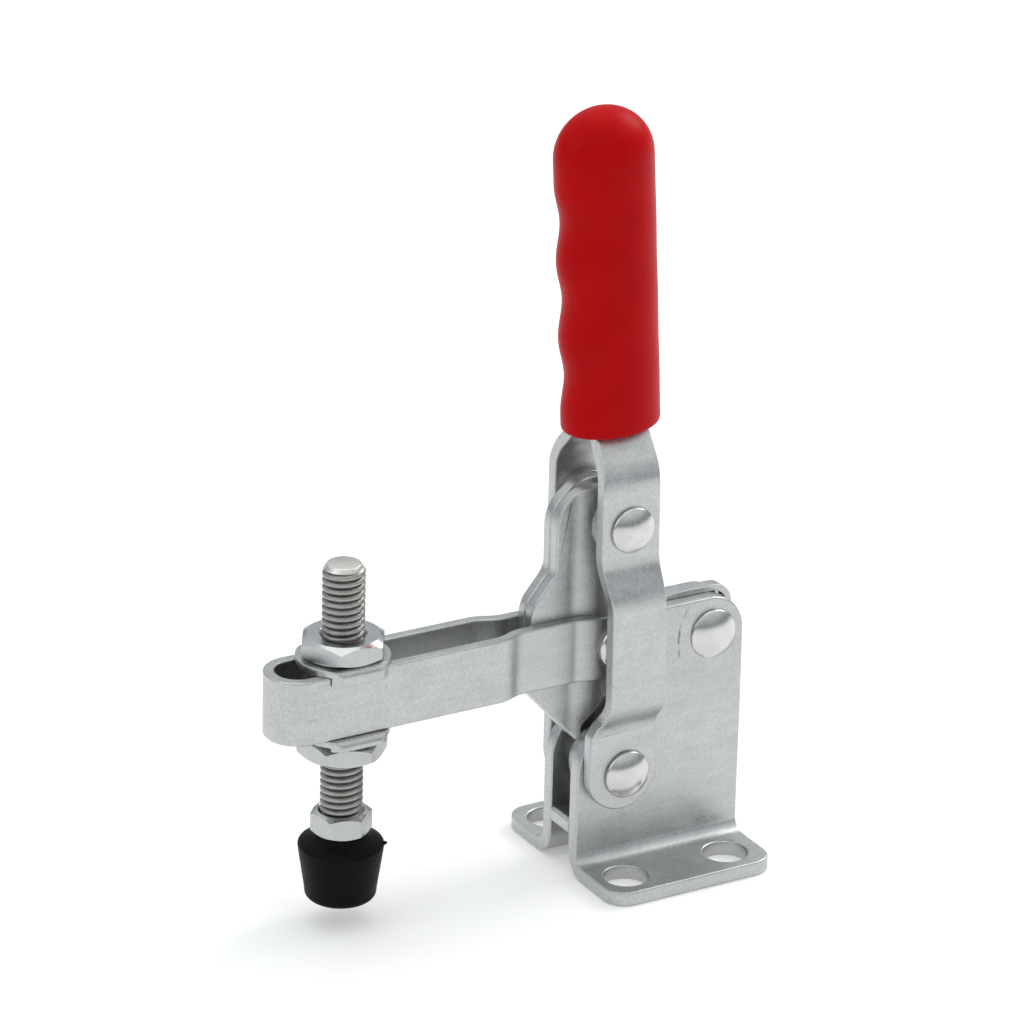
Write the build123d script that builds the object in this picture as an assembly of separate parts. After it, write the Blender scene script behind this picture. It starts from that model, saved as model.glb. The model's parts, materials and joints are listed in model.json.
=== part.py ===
from build123d import *
import os
from math import cos, pi, radians, sin, sqrt, tan

# Vertical-handle toggle clamp. Millimetres, +Z up, +X towards the clamping tip,
# origin at the centre of the four mounting holes on the underside of the base.

# ---- sheet gauges --------------------------------------------------------
base_sheet = 3.4
fork_sheet = 3.0
cheek_sheet = 3.0
bar_sheet = 2.5
link_sheet = 3.0
washer_sheet = 1.5

# ---- base ----------------------------------------------------------------
base_rear = -21.7
base_front = 20.5
base_half_width = 24.7
base_corner = 5.2
hole_pitch_x = 26.0
hole_pitch_y = 33.5
hole_radius = 5.0
web_centre = 5.6
web_lean_from = 34.0
web_top_centre = 3.3
web_top = 60.8
web_plateau_front = -2.4
web_rear_top = -22.9
base_bend = 4.7
web_bend = 9.0
bridge_low = 9.5
bridge_high = 13.3
bridge_depth = 8.0

# ---- pivots, clamped position (x, z) --------------------------------------
front_pivot = (9.8, 25.1)
arm_pivot = (11.3, 84.8)
rear_pivot = (-14.6, 52.1)
link_pivot = (10.6, 55.0)
shank_radius = 3.2
link_shank_radius = 3.0
running_fit = 0.05
head_radius = 5.2
head_height = 2.5
head_rim = 0.65
head_bevel = 0.35
relief_radius = 8.25

# ---- handle fork and grip -------------------------------------------------
side_play = 0.05
fork_bulge_centre = 13.6
fork_top_centre = 10.4
tang_centre = 1.8
fork_bend = 4.5
grip_low = 105.3
grip_top = 178.5
grip_axis_x = 10.4
grip_lean = 3.5
grip_half_depth = 11.5
grip_half_width = 9.0
dome_height = 11.0
grip_bevel = 0.8
finger_depth = 1.25
finger_start = 3.65
finger_run_out = 5.6
finger_count = 3
tang_half_width = 5.5
tang_cover = 28.5

# ---- holding arm ----------------------------------------------------------
bar_low = 47.5
bar_high = 62.5
bar_end_radius = 7.5
flare_offset = 1.6
flare_start = 18.8
flare_end = 15.9
bar_spread_from = 35.5
bar_spread_to = 39.5
bar_front_centre = 6.15
bar_front_x = 93.25
bar_front_bend = 5.9
cheek_top = 92.7
cheek_rear = 3.7
collar_flange_radius = 7.1
collar_hub_radius = 5.0
collar_flange_from = 6.4
arm_spacer_radius = 3.8

# ---- front pivot bush -----------------------------------------------------
bush_disc_radius = 8.0
bush_disc_half = 1.3
bush_hub_radius = 5.5

# ---- centre link ----------------------------------------------------------
link_front_radius = 5.1
link_wall = 1.6
window_up = 8.3
window_down = 7.5
window_rear = 5.75
window_front = 4.05
window_corner = 3.4

# ---- clamping spindle -----------------------------------------------------
spindle_x = 76.06
crest_radius = 4.72
spindle_top = 85.2
spindle_chamfer = 2.2
spindle_low = 11.5
washer_radius = 10.4
washer_hole = 4.9
ear_inner = 7.7
upper_ear_drop = 3.6
lower_ear_drop = 2.4
nut_flats = 17.46
upper_nut_height = 4.9
lower_nut_height = 4.8
upper_nut_turn = 59.0
lower_nut_turn = 41.5
tip_nut_flats = 12.0
tip_nut_low = 21.6
tip_nut_high = 27.0
tip_nut_turn = 41.0
tip_bottom = 5.8
tip_widest = 9.5
tip_shoulder = 17.9
tip_neck = 6.4
tip_foot = 7.8
tip_bevel = 0.9

# ---- derived levels -------------------------------------------------------
web_outer = web_centre + base_sheet / 2
web_inner = web_centre - base_sheet / 2
fork_low_centre = web_outer + side_play + fork_sheet / 2
fork_outer = fork_low_centre + fork_sheet / 2
fork_seat = fork_outer + side_play
fork_top_inner = fork_top_centre - fork_sheet / 2
fork_top_outer = fork_top_centre + fork_sheet / 2
cheek_front_centre = cheek_sheet / 2
cheek_rear_centre = cheek_front_centre + flare_offset
cheek_outer = cheek_rear_centre + cheek_sheet / 2
cheek_inner = cheek_rear_centre - cheek_sheet / 2
leg_outer = cheek_outer + bar_sheet


# ---- shared shapes --------------------------------------------------------
def shifted(path, distance):
    """Parallel bend line to the left of a path of (x, y, centreline bend radius)."""
    points = [Vector(x, y) for x, y, _ in path]
    runs = [(b - a).normalized() for a, b in zip(points, points[1:])]
    befores = [runs[0]] + runs
    afters = runs + [runs[-1]]
    moved = []
    for point, before, after, (_, _, radius) in zip(points, befores, afters, path):
        left = Vector(-before.Y - after.Y, before.X + after.X)
        mitre = left * (1 / (1 + before.dot(after)))
        turn = before.X * after.Y - before.Y * after.X
        bend = radius - distance * (1 if turn > 0 else -1) if radius else 0
        corner = point + mitre * distance
        moved.append((corner.X, corner.Y, bend))
    return moved


def line_of(path):
    """Bent line through a path."""
    points = [(x, y) for x, y, _ in path]
    if len(points) == 2:
        return Line(*points)
    return FilletPolyline(*points, radius=[r for _, _, r in path[1:-1]])


def sheet_edge(path, gauge):
    """Edge view of folded sheet about its centreline."""
    one = line_of(shifted(path, gauge / 2))
    other = line_of(shifted(path, -gauge / 2))
    ends = [Line(one @ 0, other @ 0), Line(one @ 1, other @ 1)]
    return Face(Wire(one.edges() + other.edges() + ends))


def plate(corners):
    """Flat outline from (x, z, corner radius)."""
    points = [(x, z) for x, z, _ in corners]
    return make_face(FilletPolyline(*points, radius=[r for _, _, r in corners], close=True))


def slab(face, y_low, y_high):
    """Side outline (x, z) given width between two y levels."""
    return extrude(Plane.XZ.offset(-y_high) * face, amount=y_high - y_low, dir=(0, -1, 0))


def pin(centre, radius, y_low, y_high):
    """Round bar along Y."""
    return slab(Pos(*centre) * Circle(radius), y_low, y_high)


def rivet(centre, radius, seat):
    """Domed rivet along Y, both heads bearing at the seat level."""
    crown = seat + head_height
    rim = seat + head_rim
    cap_edge = head_radius - head_bevel
    cap_rise = crown - rim - head_bevel
    cap_radius = (cap_edge ** 2 + cap_rise ** 2) / (2 * cap_rise)
    profile = Polyline((0, crown), (0, 0), (radius, 0), (radius, seat), (head_radius - 0.25, seat),
                       (head_radius, seat + 0.25), (head_radius, rim), (cap_edge, rim + head_bevel))
    dome = RadiusArc((cap_edge, rim + head_bevel), (0, crown), -cap_radius)
    half = revolve(make_face(profile + dome), Axis.Y)
    return Pos(centre[0], 0, centre[1]) * (half + half.mirror(Plane.XZ))


def other_side(shape):
    """Mirror image across the middle plane."""
    return shape.mirror(Plane.XZ)


def hex_nut(flats, low, high, turn):
    """Hexagon nut, both faces chamfered, bored to the thread crest."""
    across = flats / sqrt(3)
    drop = (across - flats / 2 * 0.985) * tan(radians(30))
    half = Polyline((0, low), (flats / 2 * 0.985, low), (across, low + drop),
                    (across, high - drop), (flats / 2 * 0.985, high), (0, high), close=True)
    barrel = revolve(Plane.XZ * make_face(half), Axis.Z)
    body = Rot(0, 0, turn) * extrude(Pos(0, 0, low) * RegularPolygon(across, 6), amount=high - low)
    bore = Pos(0, 0, low) * Cylinder(crest_radius, high - low, align=(Align.CENTER, Align.CENTER, Align.MIN))
    return Pos(spindle_x, 0, 0) * ((body & barrel) - bore)


def eared_washer(top, drop):
    """Round washer with two sides folded down over the bar."""
    reach = ear_inner + washer_sheet / 2
    mid = top - washer_sheet / 2
    bend = washer_sheet / 2 + 0.2
    edge = sheet_edge([(-reach, top - drop, 0), (-reach, mid, bend), (reach, mid, bend),
                       (reach, top - drop, 0)], washer_sheet)
    channel = extrude(Plane.YZ.offset(-washer_radius) * edge, amount=2 * washer_radius, dir=(1, 0, 0))
    disc = Pos(0, 0, top - drop) * Cylinder(washer_radius, drop, align=(Align.CENTER, Align.CENTER, Align.MIN))
    hole = Pos(0, 0, top - drop) * Cylinder(washer_hole, drop, align=(Align.CENTER, Align.CENTER, Align.MIN))
    return Pos(spindle_x, 0, 0) * ((channel & disc) - hole)


# ---- base plates ----------------------------------------------------------
web_line = [(base_half_width, base_sheet / 2, 0), (web_centre, base_sheet / 2, base_bend),
            (web_centre, web_lean_from, web_bend), (web_top_centre, web_top + 1.2, 0)]
web_fold = Plane.YZ.offset(web_rear_top - 1) * sheet_edge(web_line, base_sheet)
web_strip = extrude(web_fold, amount=base_front - web_rear_top + 2, dir=(1, 0, 0))
web_outline = plate([
    (base_rear, 0, 0), (base_front, 0, 0), (base_front, 28.6, 10.6),
    (web_plateau_front, web_top, 0.8), (web_rear_top, web_top, 8.2),
    (base_rear, web_lean_from, 20),
])
left_plate = web_strip & slab(web_outline, 0, base_half_width + 1)
flange_corners = left_plate.edges().filter_by(Axis.Z).group_by(Axis.Y)[-1]
left_plate = fillet(flange_corners, base_corner)
left_plate -= pin(link_pivot, relief_radius, 0, 12)
left_plate -= pin(front_pivot, shank_radius, 0, 12)
left_plate -= pin(rear_pivot, shank_radius, 0, 12)
for x in (-hole_pitch_x / 2, hole_pitch_x / 2):
    left_plate -= Pos(x, hole_pitch_y / 2, 0) * Cylinder(hole_radius, 4 * base_sheet)

# ---- bridge welded between the plates at the front -------------------------
bridge_edge = Pos(base_front - bridge_depth / 2, (bridge_low + bridge_high) / 2) * RectangleRounded(
    bridge_depth, bridge_high - bridge_low, 1.0)
bridge = slab(bridge_edge, -web_inner, web_inner)

# ---- front pivot ----------------------------------------------------------
front_rivet = rivet(front_pivot, shank_radius, fork_seat)
front_bush = pin(front_pivot, bush_disc_radius, -bush_disc_half, bush_disc_half)
front_bush += pin(front_pivot, bush_hub_radius, -web_inner, web_inner)
front_bush -= pin(front_pivot, shank_radius, -web_inner, web_inner)

# ---- rear pivot rivet, heads formed against the leaning plates --------------
rear_share = (rear_pivot[1] - web_lean_from) / (web_top + 1.2 - web_lean_from)
rear_seat = web_centre + (web_top_centre - web_centre) * rear_share + base_sheet / 2
rear_rivet = rivet(rear_pivot, shank_radius, rear_seat - 0.45)
rear_rivet = rear_rivet - left_plate - other_side(left_plate)

# ---- handle forks ---------------------------------------------------------
tang_top = grip_top - tang_cover
fork_line = [(fork_low_centre, 10.0, 0), (fork_low_centre, 37.5, fork_bend),
             (fork_bulge_centre, 43.1, fork_bend), (fork_bulge_centre, 68.4, fork_bend),
             (fork_top_centre, 75.8, fork_bend), (fork_top_centre, 96.9, fork_bend),
             (tang_centre, 107.4, fork_bend), (tang_centre, tang_top, 0)]
fork_strip = extrude(Plane.YZ.offset(-4) * sheet_edge(fork_line, fork_sheet), amount=30, dir=(1, 0, 0))
lean = tan(radians(grip_lean))
tang_x = grip_axis_x + (tang_top - grip_low) * lean
fork_outline = plate([
    (1.8, 16.6, 8.45), (19.2, 16.6, 8.45), (19.2, 35.2, 4.0), (16.9, 39.6, 4.0),
    (17.3, 68.0, 14.0), (18.75, 78.5, 14.0), (18.75, 94.5, 7.0),
    (grip_axis_x + tang_half_width + 0.9, 108.0, 6.0),
    (tang_x + tang_half_width, tang_top, 3.0), (tang_x - tang_half_width, tang_top, 3.0),
    (grip_axis_x - tang_half_width - 1.1, 107.5, 6.0), (4.3, 95.5, 9.0), (4.05, 80.0, 20.0),
    (2.9, 46.0, 20.0),
])
left_fork = fork_strip & slab(fork_outline, 0, 20)
left_fork -= pin(front_pivot, shank_radius + running_fit, 0, 20)
left_fork -= pin(arm_pivot, shank_radius, 0, 20)

# ---- moulded grip with three finger hollows on the front --------------------
grip_length = (grip_top - grip_low) / cos(radians(grip_lean))
body_length = grip_length - dome_height
finger_pitch = (body_length - finger_start - finger_run_out) / finger_count


def hollow(height):
    """Depth of the finger hollows at a height along the grip."""
    along = height - finger_start
    if along <= 0 or along >= finger_count * finger_pitch:
        return 0
    return finger_depth * (1 - cos(2 * pi * along / finger_pitch)) / 2


levels = [0, finger_start]
levels += [finger_start + finger_pitch * step / 4 for step in range(1, 4 * finger_count + 1)]
levels += [body_length]
sections = []
for level in levels:
    depth = hollow(level)
    oval = Ellipse(grip_half_depth - depth / 2, grip_half_width)
    sections.append(Pos(-depth / 2, 0, level) * oval)
grip_body = loft(sections)
grip_body = chamfer(grip_body.edges().group_by(Axis.Z)[0], grip_bevel)
dome_ball = scale(Sphere(1), (grip_half_depth, grip_half_width, dome_height))
dome = Pos(0, 0, body_length) * split(dome_ball, Plane.XY, keep=Keep.TOP)
grip = Pos(grip_axis_x, 0, grip_low) * Rot(0, grip_lean, 0) * (grip_body + dome)
grip = grip - left_fork - other_side(left_fork)

# ---- arm pivot rivet and stepped collars -----------------------------------
arm_rivet = rivet(arm_pivot, shank_radius, fork_top_outer)
collar_in = cheek_outer + side_play
left_collar = pin(arm_pivot, collar_hub_radius, collar_in, collar_flange_from)
left_collar += pin(arm_pivot, collar_flange_radius, collar_flange_from, fork_top_inner)
left_collar -= pin(arm_pivot, shank_radius, collar_in, fork_top_inner)

# ---- cheek plates ---------------------------------------------------------
cheek_line = [(0, cheek_rear_centre, 0), (flare_end, cheek_rear_centre, 3.0),
              (flare_start, cheek_front_centre, 5.5), (34, cheek_front_centre, 0)]
cheek_strip = Pos(0, 0, 28) * extrude(sheet_edge(cheek_line, cheek_sheet), amount=cheek_top - 26, dir=(0, 0, 1))
cheek_outline = plate([
    (31.4, 46.4, 2.0), (30.8, 66.1, 7.0), (24.9, 73.2, 6.0), (25.0, cheek_top, 9.3),
    (cheek_rear, cheek_top, 7.9), (cheek_rear, 52.7, 6.8), (17.7, 35.5, 2.0),
    (17.7, 31.0, 0.8),
])
left_cheek = cheek_strip & slab(cheek_outline, 0, 8)
left_cheek -= pin(arm_pivot, shank_radius + running_fit, 0, 8)
left_cheek -= pin(link_pivot, link_shank_radius, 0, 8)

# ---- U-shaped bar: two legs outside the cheeks, closed round the front ------
leg_line = shifted(cheek_line, (cheek_sheet + bar_sheet) / 2)[:-1]
side_line = leg_line + [
    (bar_spread_from, cheek_sheet + bar_sheet / 2, 4.0),
    (bar_spread_to, bar_front_centre, 4.0),
    (bar_front_x, bar_front_centre, bar_front_bend),
]
bar_line = side_line + [(x, -y, r) for x, y, r in reversed(side_line)]
bar_strip = Pos(0, 0, bar_low) * extrude(sheet_edge(bar_line, bar_sheet), amount=bar_high - bar_low, dir=(0, 0, 1))
bar_reach = bar_front_x + bar_sheet - link_pivot[0]
bar_outline = Pos(link_pivot[0] + bar_reach / 2, link_pivot[1]) * Rectangle(bar_reach, 2 * bar_end_radius)
bar_outline += Pos(*link_pivot) * Circle(bar_end_radius)
bar = bar_strip & slab(bar_outline, -10, 10)
bar -= pin(link_pivot, link_shank_radius, -10, 10)

# ---- spacer and rivet of the arm ------------------------------------------
arm_spacer = pin(arm_pivot, arm_spacer_radius, -cheek_inner, cheek_inner)
arm_spacer -= pin(arm_pivot, shank_radius + running_fit, -cheek_inner, cheek_inner)
link_rivet = rivet(link_pivot, link_shank_radius, leg_outer)

# ---- centre link, with a window that lets the rear rivet ride ---------------
eye_x, eye_z = rear_pivot
eye_corner = window_corner + link_wall
link_outline = plate([
    (link_pivot[0], link_pivot[1] + link_front_radius, 0),
    (eye_x + window_front + link_wall, eye_z + window_up + link_wall, 6.0),
    (eye_x - window_rear - link_wall, eye_z + window_up + link_wall, eye_corner),
    (eye_x - window_rear - link_wall, eye_z - window_down - link_wall, eye_corner),
    (eye_x + window_front + link_wall, eye_z - window_down - link_wall, 6.0),
    (link_pivot[0], link_pivot[1] - link_front_radius, 0),
])
link_outline += Pos(*link_pivot) * Circle(link_front_radius)
window = Pos(eye_x + (window_front - window_rear) / 2, eye_z + (window_up - window_down) / 2)
window *= RectangleRounded(window_front + window_rear, window_up + window_down, window_corner)
link = slab(link_outline - window, -link_sheet / 2, link_sheet / 2)
link -= pin(link_pivot, link_shank_radius + running_fit, -link_sheet, link_sheet)

# ---- spindle group --------------------------------------------------------
spindle_profile = Polyline(
    (0, spindle_low), (crest_radius - 0.8, spindle_low), (crest_radius, spindle_low + 0.8),
    (crest_radius, spindle_top - spindle_chamfer), (crest_radius - 1.5, spindle_top),
    (0, spindle_top), close=True)
spindle = Pos(spindle_x, 0, 0) * revolve(Plane.XZ * make_face(spindle_profile), Axis.Z)
upper_washer = eared_washer(bar_high + washer_sheet, upper_ear_drop)
upper_nut_low = bar_high + washer_sheet
upper_nut = hex_nut(nut_flats, upper_nut_low, upper_nut_low + upper_nut_height, upper_nut_turn)
lower_washer = eared_washer(bar_low, lower_ear_drop)
lower_nut_high = bar_low - lower_ear_drop
lower_nut = hex_nut(nut_flats, lower_nut_high - lower_nut_height, lower_nut_high, lower_nut_turn)
tip_nut = hex_nut(tip_nut_flats, tip_nut_low, tip_nut_high, tip_nut_turn)

# ---- rubber tip -----------------------------------------------------------
tip_profile = Polyline(
    (0, tip_bottom), (tip_foot - tip_bevel, tip_bottom), (tip_foot, tip_bottom + tip_bevel),
    (tip_widest, tip_shoulder), (tip_widest - 0.25, tip_shoulder + 1.0),
    (tip_widest - 1.4, tip_shoulder + 2.2), (tip_neck + 0.5, tip_nut_low - 0.75),
    (tip_neck, tip_nut_low), (crest_radius, tip_nut_low), (crest_radius, spindle_low + 0.8),
    (crest_radius - 0.8, spindle_low), (0, spindle_low), close=True)
rubber_tip = Pos(spindle_x, 0, 0) * revolve(Plane.XZ * make_face(tip_profile), Axis.Z)

# ---- files ----------------------------------------------------------------
parts = {
    "base_plate_left": left_plate,
    "base_plate_right": other_side(left_plate),
    "base_bridge": bridge,
    "front_pivot_rivet": front_rivet,
    "front_pivot_bush": front_bush,
    "rear_pivot_rivet": rear_rivet,
    "handle_fork_left": left_fork,
    "handle_fork_right": other_side(left_fork),
    "handle_grip": grip,
    "arm_pivot_rivet": arm_rivet,
    "arm_pivot_collar_left": left_collar,
    "arm_pivot_collar_right": other_side(left_collar),
    "arm_bar": bar,
    "cheek_plate_left": left_cheek,
    "cheek_plate_right": other_side(left_cheek),
    "arm_pivot_spacer": arm_spacer,
    "link_pivot_rivet": link_rivet,
    "spindle": spindle,
    "upper_flanged_washer": upper_washer,
    "upper_nut": upper_nut,
    "lower_flanged_washer": lower_washer,
    "lower_nut": lower_nut,
    "tip_nut": tip_nut,
    "rubber_tip": rubber_tip,
    "centre_link": link,
}
os.makedirs("parts", exist_ok=True)
for name, shape in parts.items():
    export_step(shape, "parts/" + name + ".step")
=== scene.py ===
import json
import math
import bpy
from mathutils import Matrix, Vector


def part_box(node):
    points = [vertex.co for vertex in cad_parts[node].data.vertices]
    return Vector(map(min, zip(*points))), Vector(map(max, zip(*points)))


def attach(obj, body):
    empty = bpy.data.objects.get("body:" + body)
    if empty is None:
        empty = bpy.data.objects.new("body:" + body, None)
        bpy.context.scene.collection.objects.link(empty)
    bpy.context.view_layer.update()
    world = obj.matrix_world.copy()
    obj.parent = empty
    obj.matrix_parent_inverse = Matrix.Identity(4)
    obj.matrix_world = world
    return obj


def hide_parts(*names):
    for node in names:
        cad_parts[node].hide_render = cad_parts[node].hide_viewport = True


bl_info = {
    "name": "Vertical Handle Toggle Clamp",
    "version": (1, 0, 0),
    "blender": (4, 5, 0),
    "location": "3D Viewport > Sidebar > Clamp",
    "description": "Dresses a riveted vertical-handle toggle clamp in zinc plate, moulded plastic and rubber",
    "category": "Add Mesh",
}

import bpy
from mathutils import Matrix, Vector

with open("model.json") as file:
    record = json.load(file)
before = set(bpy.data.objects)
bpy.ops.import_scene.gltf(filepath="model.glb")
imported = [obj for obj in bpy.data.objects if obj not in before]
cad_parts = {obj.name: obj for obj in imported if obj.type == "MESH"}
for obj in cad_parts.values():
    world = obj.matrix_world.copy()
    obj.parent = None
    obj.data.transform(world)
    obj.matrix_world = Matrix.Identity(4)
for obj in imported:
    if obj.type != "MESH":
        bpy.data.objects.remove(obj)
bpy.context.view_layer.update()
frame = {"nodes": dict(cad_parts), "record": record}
NODES = frame["nodes"]
MM = 0.001
BODY_OF = {node: body for body, nodes in frame["record"]["behaviour"]["bodies"].items() for node in nodes}
SLOT_OF = {row["node"]: row["material_slot"] for row in frame["record"]["subparts"]}

# The spindle's axis, and the camera's place (metres), angles (degrees) and lens (millimetres).
SPINDLE_X = (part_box("spindle")[0].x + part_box("spindle")[1].x) / 2
CAMERA_PLACE = (0.592713, 0.942184, 0.552573)
CAMERA_TURN = 59.366
CAMERA_ELEVATION = 22.946
CAMERA_ROLL = 1.419
CAMERA_LENS = 192.94
CAMERA_SENSOR = 36.0

# How finely curves are made.
BEND_STEP = math.radians(6)
HOLE_STEPS = 72
THREAD_STEPS = 48
NUT_STEPS = 96
TIP_STEPS = 96


# ---- properties ------------------------------------------------------------
class ClampSizes(bpy.types.PropertyGroup):
    """Sizes that shape the dressed clamp."""

    sheet_edge: bpy.props.FloatProperty(
        name="Sheet edge", description="Rounding along the edges of the folded sheet",
        default=0.45 * MM, min=0.0, unit="LENGTH")
    small_edge: bpy.props.FloatProperty(
        name="Small edge", description="Rounding along the edges of washers, collars and the link",
        default=0.2 * MM, min=0.0, unit="LENGTH")
    thread_pitch: bpy.props.FloatProperty(
        name="Thread pitch", description="Rise of the spindle's thread in one turn",
        default=1.5875 * MM, min=0.2 * MM, unit="LENGTH")
    thread_depth: bpy.props.FloatProperty(
        name="Thread depth", description="Depth of the spindle's thread from crest to root",
        default=0.86 * MM, min=0.1 * MM, unit="LENGTH")
    rivet_steps: bpy.props.IntProperty(
        name="Rivet steps", description="Steps round each rivet head", default=72, min=12)
    grip_steps: bpy.props.IntProperty(
        name="Grip steps", description="Points round the moulded grip", default=96, min=16)
    finger_depth: bpy.props.FloatProperty(
        name="Finger depth", description="Depth of the finger hollows on the front of the grip",
        default=1.25 * MM, min=0.0, unit="LENGTH")


class ClampFinishes(bpy.types.PropertyGroup):
    """Colours of the clamp's finishes."""

    zinc: bpy.props.FloatVectorProperty(
        name="Zinc plate", description="Mean colour of the zinc plated sheet",
        subtype="COLOR", size=3, default=(0.535, 0.541, 0.542), min=0.0, max=1.0)
    rivet: bpy.props.FloatVectorProperty(
        name="Rivet heads", description="Colour of the formed rivet heads",
        subtype="COLOR", size=3, default=(0.60, 0.598, 0.585), min=0.0, max=1.0)
    thread: bpy.props.FloatVectorProperty(
        name="Thread", description="Colour of the spindle's thread",
        subtype="COLOR", size=3, default=(0.30, 0.30, 0.285), min=0.0, max=1.0)
    nut: bpy.props.FloatVectorProperty(
        name="Nuts", description="Colour of the hexagon nuts",
        subtype="COLOR", size=3, default=(0.47, 0.478, 0.482), min=0.0, max=1.0)
    grip: bpy.props.FloatVectorProperty(
        name="Grip", description="Colour of the moulded grip",
        subtype="COLOR", size=3, default=(0.475, 0.0012, 0.003), min=0.0, max=1.0)
    rubber: bpy.props.FloatVectorProperty(
        name="Rubber", description="Colour of the rubber tip",
        subtype="COLOR", size=3, default=(0.0026, 0.0026, 0.0027), min=0.0, max=1.0)


class ClampStage(bpy.types.PropertyGroup):
    """Light and floor round the clamp."""

    floor_colour: bpy.props.FloatVectorProperty(
        name="Floor", description="Colour of the pale floor",
        subtype="COLOR", size=3, default=(0.80, 0.80, 0.80), min=0.0, max=1.0)
    key_power: bpy.props.FloatProperty(
        name="Key lamp", description="Power of the lamp behind the base",
        default=5.2, min=0.0, unit="POWER")
    fill_power: bpy.props.FloatProperty(
        name="Fill lamp", description="Power of the lamp beyond the tip",
        default=1.6, min=0.0, unit="POWER")
    top_power: bpy.props.FloatProperty(
        name="Top lamp", description="Power of the lamp overhead", default=2.5, min=0.0, unit="POWER")


def sizes():
    return bpy.context.scene.clamp_sizes


def finishes():
    return bpy.context.scene.clamp_finishes


# ---- shader building -------------------------------------------------------
class Signal:
    """A socket's value; arithmetic on it adds Math nodes to its tree."""

    def __init__(self, nodes, socket):
        self.nodes = nodes
        self.socket = socket

    def _math(self, operation, *values):
        return self.nodes.add("ShaderNodeMath", {"operation": operation}, dict(enumerate(values)))

    def __add__(self, other):
        return self._math("ADD", self, other)

    def __radd__(self, other):
        return self._math("ADD", other, self)

    def __sub__(self, other):
        return self._math("SUBTRACT", self, other)

    def __rsub__(self, other):
        return self._math("SUBTRACT", other, self)

    def __mul__(self, other):
        return self._math("MULTIPLY", self, other)

    def __rmul__(self, other):
        return self._math("MULTIPLY", other, self)

    def __abs__(self):
        return self._math("ABSOLUTE", self)

    def at_least(self, floor):
        return self._math("MAXIMUM", self, floor)

    def clamped(self):
        return self._math("MINIMUM", self, 1.0).at_least(0.0)

    def beside(self, output):
        """Another output of the node that this value comes from."""
        return Signal(self.nodes, self.socket.node.outputs[output])


class Nodes:
    """A node tree that is built by adding nodes and feeding their sockets."""

    def __init__(self, tree):
        self.tree = tree

    def add(self, kind, settings, links, output=0):
        node = self.tree.nodes.new(kind)
        for key, value in settings.items():
            if key == "stops":
                ramp = node.color_ramp
                while len(ramp.elements) < len(value):
                    ramp.elements.new(0.5)
                for stop, (place, colour) in zip(ramp.elements, value):
                    stop.position = place
                    stop.color = (*colour, 1.0) if hasattr(colour, "__len__") else (colour,) * 3 + (1.0,)
            else:
                setattr(node, key, value)
        for key, value in links.items():
            self.feed(node.inputs[key], value)
        return Signal(self, node.outputs[output])

    def feed(self, socket, value):
        if isinstance(value, Signal):
            self.tree.links.new(value.socket, socket)
        elif hasattr(value, "__len__") and socket.type == "RGBA":
            socket.default_value = (*value[:3], 1.0)
        else:
            socket.default_value = value


class Finish(Nodes):
    """A procedural material under construction."""

    def __init__(self, name):
        self.material = bpy.data.materials.new(name)
        self.material.use_nodes = True
        super().__init__(self.material.node_tree)
        self.tree.nodes.clear()
        self.output = self.tree.nodes.new("ShaderNodeOutputMaterial").inputs["Surface"]
        self.shader = self.add("ShaderNodeBsdfPrincipled", {}, {}).socket.node
        self.feed(self.output, Signal(self, self.shader.outputs[0]))
        self.place = self.add("ShaderNodeTexCoord", {}, {}, output="Object")

    def set(self, **values):
        for key, value in values.items():
            self.feed(self.shader.inputs[key.replace("_", " ")], value)

    def noise(self, size, detail, roughness, place=None):
        """Noise whose features are about size metres across."""
        return self.add("ShaderNodeTexNoise", {}, {
            "Vector": place or self.place, "Scale": 1.0 / size, "Detail": detail,
            "Roughness": roughness})

    def ramp(self, value, low, high):
        """Value stretched so that low gives 0 and high gives 1."""
        return self.add("ShaderNodeMapRange", {}, {0: value, 1: low, 2: high, 3: 0.0, 4: 1.0})

    def mix(self, factor, one, two):
        return self.add("ShaderNodeMix", {"data_type": "RGBA"}, {0: factor, 6: one, 7: two}, output=2)

    def stretched(self, scale):
        """Object coordinates drawn out along the axes whose scale is under 1."""
        return self.add("ShaderNodeMapping", {}, {"Vector": self.place, "Scale": scale})

    def bump(self, height, strength, distance):
        return self.add("ShaderNodeBump", {}, {
            "Height": height, "Strength": strength, "Distance": distance})


def shade(colour, factor):
    """A colour made lighter or darker."""
    return tuple(min(1.0, part * factor) for part in colour)


def crease_shade_line(f, grain):
    """A thin dark line of painted shade down the left base plate, beside the rear pivot, standing in for the
    shade along an unmodelled crease.
    """
    mark_x, bend_z, bow = -0.0056, 0.052, 47.0
    x = f.add("ShaderNodeSeparateXYZ", {}, {"Vector": f.place})
    y, z = x.beside(1), x.beside(2)
    above = (z - bend_z).at_least(0.0)
    off = abs(x - mark_x + above * above * bow)
    return (f.ramp(off + (grain - 0.5) * 0.9 * MM, 0.42 * MM, 0.12 * MM) * f.ramp(y, 4 * MM, 5 * MM)
            * f.ramp(z, 47.8 * MM, 49.5 * MM) * f.ramp(z, 60.2 * MM, 57.5 * MM)
            * f.ramp(f.noise(2.2 * MM, 2.0, 0.5), 0.34, 0.5))


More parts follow.
